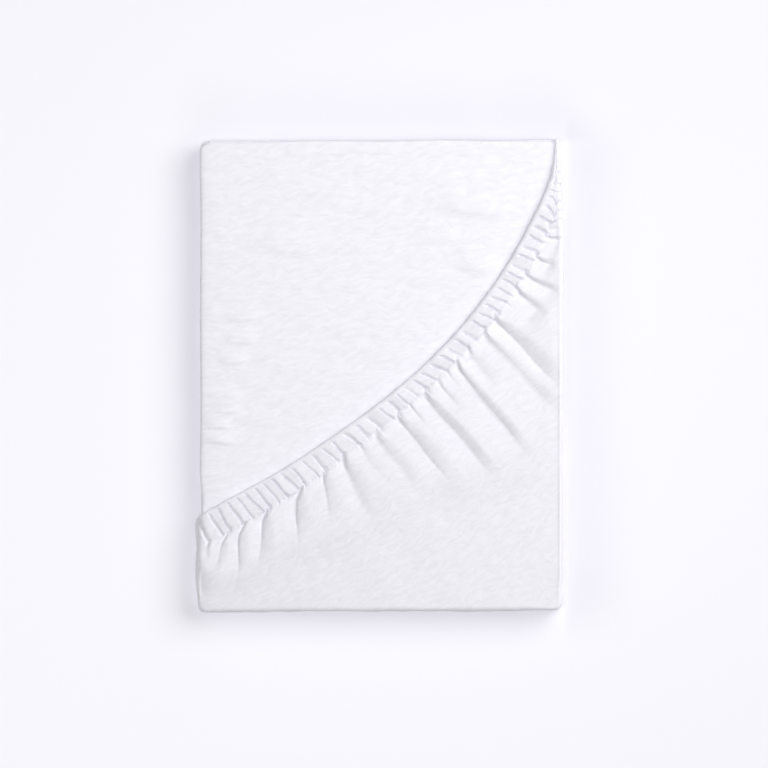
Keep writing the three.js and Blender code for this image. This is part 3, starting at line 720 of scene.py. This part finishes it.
def pocket_cloth():
    """The skirt's shell, as columns from the hem over the top to the packet's edge, rows round the
    edge and down the walls, and the flat back under the packet."""
    on_casing = np.concatenate([ON_CASING, np.ones(len(PAST_SEAM) + len(AT_RIM))])
    on_top = np.concatenate([np.zeros(len(ON_CASING)), PAST_SEAM, np.ones(len(AT_RIM))])
    in_band = np.concatenate([np.ones(len(ON_CASING) + len(PAST_SEAM)), AT_RIM])
    share = np.broadcast_to(on_casing, (len(COLUMNS), len(on_casing)))
    for _ in range(2):
        valleys = COLUMNS[:, :1] + (COLUMNS[:, 1:] - COLUMNS[:, :1]) * share
        wander = (0.07 * np.sin(2.1 * valleys) + 0.05 * np.sin(3.3 * valleys + 4 * share)
                  + 0.4 * np.exp(-((valleys - 42.5) / 1.3) ** 2))
        number = valleys + wander * np.sin(np.pi * share) * soft_step(valleys) * soft_step(50 - valleys)
        lean = np.radians(through(RUN_NUMBER, RUN_LEAN, number))
        casing = through(RUN_NUMBER, RUN_CASING, number)
        hem = hem_points(through(RUN_NUMBER, RUN_SHARE, number))
        lands = LEFT_RUN + through(RUN_NUMBER, RUN_LANDS, number)
        edge, looks = edge_stations(lands)
        rim = edge - edge_radius(lands)[..., None] * looks
        casing = np.minimum(casing, 0.8 * np.linalg.norm(rim - hem, axis=-1))
        across = np.stack([np.cos(lean), np.sin(lean)], -1)
        seam = hem + casing[..., None] * across
        stray = np.minimum(through(*STRAY, number), 0.5 * casing)
        hem = hem + stray[..., None] * across
        casing = casing - stray
        run = np.linalg.norm(rim - seam, axis=-1)
        past_seam = on_top * (1 - in_band * np.minimum(RIM_BAND / run, 0.5))
        away = on_casing * casing + past_seam * run
        widened = np.maximum(casing, LEAST_CASING)
        share = np.clip(away / widened, 0, 1)
    reach = through(RUN_NUMBER, RUN_REACH, number)
    plan = hem + on_casing[:, None] * (seam - hem) + past_seam[..., None] * (rim - seam)
    per_ruffle = np.gradient(plan, axis=0) / np.gradient(number, axis=0)[..., None]
    heading = (rim - hem) / np.linalg.norm(rim - hem, axis=-1)[..., None]
    pitch = np.abs(per_ruffle[..., 0] * heading[..., 1] - per_ruffle[..., 1] * heading[..., 0])
    pitch = np.maximum(pitch, LEAST_PITCH)
    risen = stand_out(valleys, away, widened, reach, pitch)
    x, y = plan[..., 0], plan[..., 1]
    sway = broad_sway(x, y) + sways([x, y], [(14, 40), (9, 30)], SMALL_SWAY, 22)
    pressed = np.exp(-((x - PRESSED_AT) / PRESSED_WIDTH) ** 2) * soft_step((-85 - y) / 20)
    lip = rim_lip((1 - past_seam) * run, lands)
    crease = lip - PRESSED_DEPTH * pressed
    outer_top = packet_form(x, y, SKIRT_TOP + risen + sway + crease)
    shared = smoothed_inside(away - widened) * risen
    inner_top = packet_form(x, y, SKIRT_TOP - SKIRT_CLOTH + shared + sway + crease)
    columns, rows = x.shape

    # Round the packet's edge: the left wall below the first column, then a column of wall below
    # each column of the top. The section turns over the edge, runs down and turns under.
    tilt = np.concatenate([
        np.linspace(0, 90, TURN_STATIONS),
        np.full(DOWN_STATIONS, 90),
        np.linspace(90, 180, FOOT_STATIONS)[1:],
    ])
    angle = np.radians(tilt)
    usual_z, usual_inset = wall_section(tilt, np.array([EDGE_RADIUS]))
    down = np.concatenate([[0], np.cumsum(np.hypot(np.diff(usual_inset), np.diff(usual_z)))])
    left_place = away[0, :-1] * LEFT_RUN / away[0, -1]
    slanted = left_place[:, None] + LEFT_SLANT * down * (1 - left_place[:, None] / LEFT_RUN)
    along = np.concatenate([slanted, lands[:, -1:] + 0 * down])
    level_z, inset = wall_section(tilt, edge_radius(along[:, :1]))
    place, outward = edge_stations(along)
    first_pitch = RUN_SHARE[1] / RUN_NUMBER[1] * HEM_LENGTH
    wall_number = np.concatenate([0 * slanted - down / first_pitch, valleys[:, -1:] + 0 * down])
    wall_away = np.concatenate([left_place[:, None] + 0 * down, away[:, -1:] + down])
    wall_casing, wall_reach, wall_pitch = (
        np.concatenate([np.full(rows - 1, left), others[:, -1]])[:, None]
        for left, others in ((widened[0, -1], widened), (WALL_REACH, reach), (first_pitch, pitch)))
    wall_risen = stand_out(wall_number, wall_away, wall_casing, wall_reach, wall_pitch)
    sideways = np.sin(angle)
    is_left = (np.arange(len(along)) < rows - 1)[:, None]
    fading = np.where(is_left, 1.0, np.exp(-down / WALL_FADE))
    above_foot = np.where(tilt > 90, 0, soft_step(level_z / (0.5 * SKIRT_TOP)))
    belly = BELLY + sways([along, level_z], [(60, 240), (50, 200)], BELLY_UNEVEN, 31)
    drawn = sways([along, level_z], [(14, 46), (60, 160)], DRAWN_FOLDS, 32)
    belly = (belly + drawn) * sideways * np.sin(np.pi * np.clip(level_z / SKIRT_TOP, 0, 1)) ** 0.7
    sway_rim = broad_sway(place[..., 0], place[..., 1]) * (1 - sideways)
    out = (1 - 0.45 * sideways) * wall_risen * fading * above_foot + belly + sway_rim
    out = out + rim_lip(down, along)
    upwards = (np.cos(angle) + 0 * along)[..., None]
    facing = np.concatenate([outward * sideways[:, None], upwards], -1)
    base = np.concatenate([place - inset[..., None] * outward, level_z[..., None]], -1)
    shared = np.where(is_left, smoothed_inside(wall_away - wall_casing), 1.0)
    outer_wall = base + facing * out[..., None]
    inner_wall = base + facing * (out * shared - SKIRT_CLOTH)[..., None]
    outer_wall = packet_form(*np.moveaxis(outer_wall, -1, 0))
    inner_wall = packet_form(*np.moveaxis(inner_wall, -1, 0))
    wall_laid = place + outward * (down - EDGE_RADIUS)[:, None]

    # Numbering: the top's points, then the walls' below the rim, then the back's far left corner.
    top_index = np.arange(columns * rows).reshape(columns, rows)
    levels = len(down)
    below = columns * rows + np.arange(len(along) * (levels - 1)).reshape(len(along), levels - 1)
    rim_index = np.concatenate([top_index[0, :-1], top_index[:, -1]])
    wall_index = np.concatenate([rim_index[:, None], below], 1)
    turn = np.linspace(0, np.pi / 2, 6)
    corner_x = -PANEL_SIDE + PLAN_CORNER * (1 - np.sin(turn))
    corner_y = RIGHT_END - PLAN_CORNER * (1 - np.cos(turn))
    back = [packet_form(corner_x, corner_y, 0 * turn + z) for z in (0.0, SKIRT_CLOTH)]
    back_index = below.max() + 1 + np.arange(len(turn))

    outer = np.concatenate([outer_top.reshape(-1, 3), outer_wall[:, 1:].reshape(-1, 3), back[0]])
    inner = np.concatenate([inner_top.reshape(-1, 3), inner_wall[:, 1:].reshape(-1, 3), back[1]])
    laid = np.concatenate([plan.reshape(-1, 2), wall_laid[:, 1:].reshape(-1, 2),
                           np.stack([corner_x, corner_y], -1)])
    quads = np.concatenate([
        np.stack([grid[:-1, :-1], grid[:-1, 1:], grid[1:, 1:], grid[1:, :-1]], -1).reshape(-1, 4)
        for grid in (top_index, wall_index)
    ])

    # The free border: down the left wall's end, round the back, up the right end, along the hem.
    border = np.concatenate([
        wall_index[0], back_index[::-1], wall_index[-1, :0:-1],
        top_index[-1, :0:-1], top_index[:0:-1, 0],
    ])
    all_facing = np.concatenate([
        np.tile([0, 0, 1.0], (columns * rows, 1)),
        facing[:, 1:].reshape(-1, 3),
        np.tile([0, 0, -1.0], (len(turn), 1)),
    ])
    edge_form = np.tile([1.0, 0.0], (len(border), 1))
    for k in (0, 1):
        edge_form[1 - columns:, k] = through(HEM_EDGE[0], HEM_EDGE[k + 1], number[:0:-1, 0])
    points, faces = shell(outer, inner, quads, border, all_facing[border], edge_form)
    points[:, 2] = np.clip(points[:, 2], 0, None)
    places = np.concatenate([laid, laid] + [laid[border]] * (EDGE_STEPS - 1))
    outline = np.concatenate([wall_index[:, -1], back_index])
    return points, faces, places, [outline[::-1], outline + len(outer)], points[:, :2]


skirt = cloth_piece("elasticated_skirt", *pocket_cloth())
# The skirt's molton takes two tones a little deeper than the panel's: painted shade for the light, which
# falls off across the packet towards its near left.
skirt.data.materials.append(brushed_molton("skirt_molton_painted_shade", ("dddce3", "e4e3ea"), 33, (9.5, 3.1)))
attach(skirt, "root")
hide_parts("gathered_skirt")

# The hem's stitches. One row of lockstitch in white polyester thread holds the casing down, a
# little before its edge. Each stitch is a short length of thread that dips into the cloth.
STITCH_PITCH = 3.6
STITCH_LENGTH = 2.7
FIRST_STITCH, LAST_STITCH = 3.0, 12
THREAD = 0.55
THREAD_SIDES = 6
SEAM_ROW = len(ON_CASING) - 2
TWIST_PITCH, TWIST_DEPTH = 1.6, 0.05


def stitch_threads():
    """One closed tube of thread for each stitch along the skirt's seam row. Its middle line
    follows the cloth, raised as a parabola, and its radius falls to nothing at both ends."""
    skirt_points = np.empty(3 * len(skirt.data.vertices))
    skirt.data.vertices.foreach_get("co", skirt_points)
    rows = len(ON_CASING) + len(PAST_SEAM) + len(AT_RIM)
    seam_line = skirt_points.reshape(-1, 3)[SEAM_ROW:len(COLUMNS) * rows:rows] / MM
    run = np.concatenate([[0], np.cumsum(np.linalg.norm(np.diff(seam_line, axis=0), axis=1))])
    starts = np.arange(FIRST_STITCH, run[-1] - LAST_STITCH, STITCH_PITCH)
    share = np.array([0, 0.06, 0.25, 0.5, 0.75, 0.94, 1.0])
    at = starts[:, None] + share * STITCH_LENGTH
    middle = np.stack([np.interp(at, run, seam_line[:, axis]) for axis in range(3)], -1)
    middle[..., 2] += THREAD * (0.75 * (1 - (2 * share - 1) ** 2) - 0.35)
    radius = THREAD / 2 * np.array([0, 0.7, 1, 1, 1, 0.7, 0])
    along = np.gradient(middle, axis=1)
    along /= np.linalg.norm(along, axis=-1)[..., None]
    sideways = np.cross(along, [0, 0, 1.0])
    sideways /= np.linalg.norm(sideways, axis=-1)[..., None]
    upwards = np.cross(sideways, along)
    turn = 2 * np.pi * np.arange(THREAD_SIDES) / THREAD_SIDES
    cosine, sine = np.cos(turn)[:, None], np.sin(turn)[:, None]
    round_it = cosine * sideways[:, 1:-1, None] + sine * upwards[:, 1:-1, None]
    rings = middle[:, 1:-1, None] + radius[1:-1, None, None] * round_it
    each = rings.shape[1] * THREAD_SIDES
    points = np.concatenate([rings.reshape(len(at), each, 3), middle[:, :1], middle[:, -1:]], 1)
    index = np.arange(each).reshape(-1, THREAD_SIDES)
    after = np.roll(index, -1, 1)
    quads = np.stack([index[:-1], index[1:], after[1:], after[:-1]], -1).reshape(-1, 4)
    first = np.stack([np.full(THREAD_SIDES, each), index[0], after[0]], -1)
    last = np.stack([np.full(THREAD_SIDES, each + 1), after[-1], index[-1]], -1)
    offset = np.arange(len(at))[:, None, None] * (each + 2)
    all_quads = (quads + offset).reshape(-1, 4)
    caps = (np.concatenate([first, last]) + offset).reshape(-1, 3)
    run_at = at[:, 1:-1, None] + 0 * turn
    places = np.stack([run_at, turn * THREAD / 2 + 0 * run_at], -1).reshape(len(at), each, 2)
    places = np.concatenate([places, places[:, :1], places[:, -1:]], 1).reshape(-1, 2)
    return points.reshape(-1, 3), all_quads, places, caps, places


def twisted_thread(name, codes):
    """Spun polyester sewing thread: white, a little glossy, its twist running round it as fine
    slanting grooves."""
    material, tree, polyester = blank_material(name)
    laid = add(tree, "UVMap", uv_map="flat_cloth").outputs["UV"]
    twist = add(tree, "TexWave", [("Vector", laid)], bands_direction="DIAGONAL",
                Scale=1 / (TWIST_PITCH * MM), Distortion=0.3).outputs["Fac"]
    grooves = add(tree, "Bump", [("Height", twist)], Strength=0.6, Distance=TWIST_DEPTH * MM)
    # The thread's colour follows its twist, darker in the grooves and lighter on the crests: painted
    # shade in the grooves.
    shade = toned(tree, twist, codes)
    add(tree, polyester, [("Base Color", shade), ("Normal", grooves.outputs["Normal"])], Roughness=0.55)
    return material


stitches = cloth_piece("hem_stitches", *stitch_threads())
stitches.data.materials.append(twisted_thread("polyester_thread", ("d6d5dc", "ecebf1")))
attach(stitches, "root")

# A plain pale studio floor, matt card, on which the packet lies. Its size, how far it lies under the
# packet and the reach of its tone are in metres. Its tone deepens towards the key lamp.
FLOOR_SIZE, FLOOR_DROP = 8.0, 0.0003
TO_LAMP, TONE_REACH = (0.885, 0.465, 0), 0.45
bpy.ops.mesh.primitive_plane_add(size=FLOOR_SIZE, location=(0, 0, -FLOOR_DROP))
floor = bpy.context.active_object
floor.name = "floor"
card, tree, surface = blank_material("studio_card")
place = add(tree, "TexCoord").outputs["Object"]
to_lamp = add(tree, "VectorMath", [(0, place), (1, TO_LAMP)], operation="DOT_PRODUCT")
graded = add(tree, "MapRange", [("Value", to_lamp.outputs["Value"])],
             From_Min=-TONE_REACH, From_Max=TONE_REACH)
tone = toned(tree, graded.outputs["Result"], ("f9f8fe", "dfdee5"))

# Beside the packet's right and far sides the lit cloth throws light on the card, so the card's own
# tone is a little deeper there. It deepens by a share for each side, which grows from nothing at the
# side's foot, falls off as a power away from it, and fades out at the side's ends.
LIT_SIDES = {"X": 0.16, "Y": 0.10}
LIT_FOOT, LIT_REACH, LIT_POWER, LIT_ENDS = (-3, 6), 110, 3.0, (35, -25)
axes = add(tree, "SeparateXYZ", [(0, place)]).outputs
deeper = 0.0
for axis, other, half, end in (("X", "Y", *PACKET_HALF), ("Y", "X", *PACKET_HALF[::-1])):
    lit = LIT_SIDES[axis]
    for along_axis, none_at, all_at, power in (
            (axes[axis], half + LIT_REACH, half, LIT_POWER),
            (axes[axis], half + LIT_FOOT[0], half + LIT_FOOT[1], 1.0),
            (reckon(tree, "ABSOLUTE", axes[other]), end + LIT_ENDS[0], end + LIT_ENDS[1], 1.0)):
        share = add(tree, "MapRange", [("Value", along_axis)], interpolation_type="SMOOTHSTEP",
                    From_Min=none_at * MM, From_Max=all_at * MM)
        lit = reckon(tree, "MULTIPLY", lit, reckon(tree, "POWER", share.outputs["Result"], power))
    deeper = reckon(tree, "ADD", deeper, lit)
kept = reckon(tree, "SUBTRACT", 1.0, deeper)
shade = add(tree, "VectorMath", [(0, tone), ("Scale", kept)], operation="SCALE")
add(tree, surface, [("Base Color", shade.outputs["Vector"])], Roughness=1.0, Specular_IOR_Level=0.0)
floor.data.materials.append(card)

# Soft studio light: a broad lamp at the upper right, whose light falls off across the packet, a
# soft one overhead, a low one without shadows from each side to show the cloth's relief, and pale
# walls. The key lamp's distance and size are in metres.
KEY_TURN, KEY_RISE = np.radians(27.7), np.radians(53)
KEY_DISTANCE, KEY_SIZE, KEY_POWER = 1.7, 1.50, 17.8
WALL_LIGHT = 0.225


def distant_lamp(name, tilt, turn, angle, strength, casts=True):
    """A distant soft lamp: tilt from straight overhead, turned about the vertical, in degrees."""
    light = bpy.data.lights.new(name, "SUN")
    light.energy = strength
    light.angle = np.radians(angle)
    light.use_shadow = casts
    in_scene(name, light).rotation_euler = (np.radians(tilt), 0, np.radians(turn))


distant_lamp("overhead_lamp", tilt=7, turn=-62.3, angle=16, strength=0.82)
distant_lamp("right_lamp", tilt=55, turn=117.7, angle=20, strength=1.10, casts=False)
distant_lamp("left_lamp", tilt=78, turn=-62.3, angle=20, strength=0.52, casts=False)

key = bpy.data.lights.new("key_lamp", "AREA")
key.shape = "DISK"
key.size = KEY_SIZE
key.energy = KEY_POWER
key_holder = in_scene("key_lamp", key)
key_holder.location = KEY_DISTANCE * np.array([
    np.cos(KEY_TURN) * np.cos(KEY_RISE), np.sin(KEY_TURN) * np.cos(KEY_RISE), np.sin(KEY_RISE)])
key_holder.rotation_euler = (np.pi / 2 - KEY_RISE, 0, np.pi / 2 + KEY_TURN)

world = bpy.data.worlds.new("studio_walls")
world.use_nodes = True
add(world.node_tree, world.node_tree.nodes["Background"], Color=(1, 1, 1, 1), Strength=WALL_LIGHT)
bpy.context.scene.world = world
bpy.context.scene.view_settings.view_transform = "Standard"

# The camera looks straight down from 20 metres up through a long lens, and its frame shows this
# width of the floor, in millimetres, round this centre.
VIEW_WIDTH = 646.3
VIEW_CENTRE = (2.98, -6.59)
CAMERA_HEIGHT = 20.0
lens = bpy.data.cameras.new("camera")
lens.lens = lens.sensor_width * CAMERA_HEIGHT / (VIEW_WIDTH * MM)
camera = in_scene("camera", lens)
camera.location = (VIEW_CENTRE[0] * MM, VIEW_CENTRE[1] * MM, CAMERA_HEIGHT)
bpy.context.scene.camera = camera
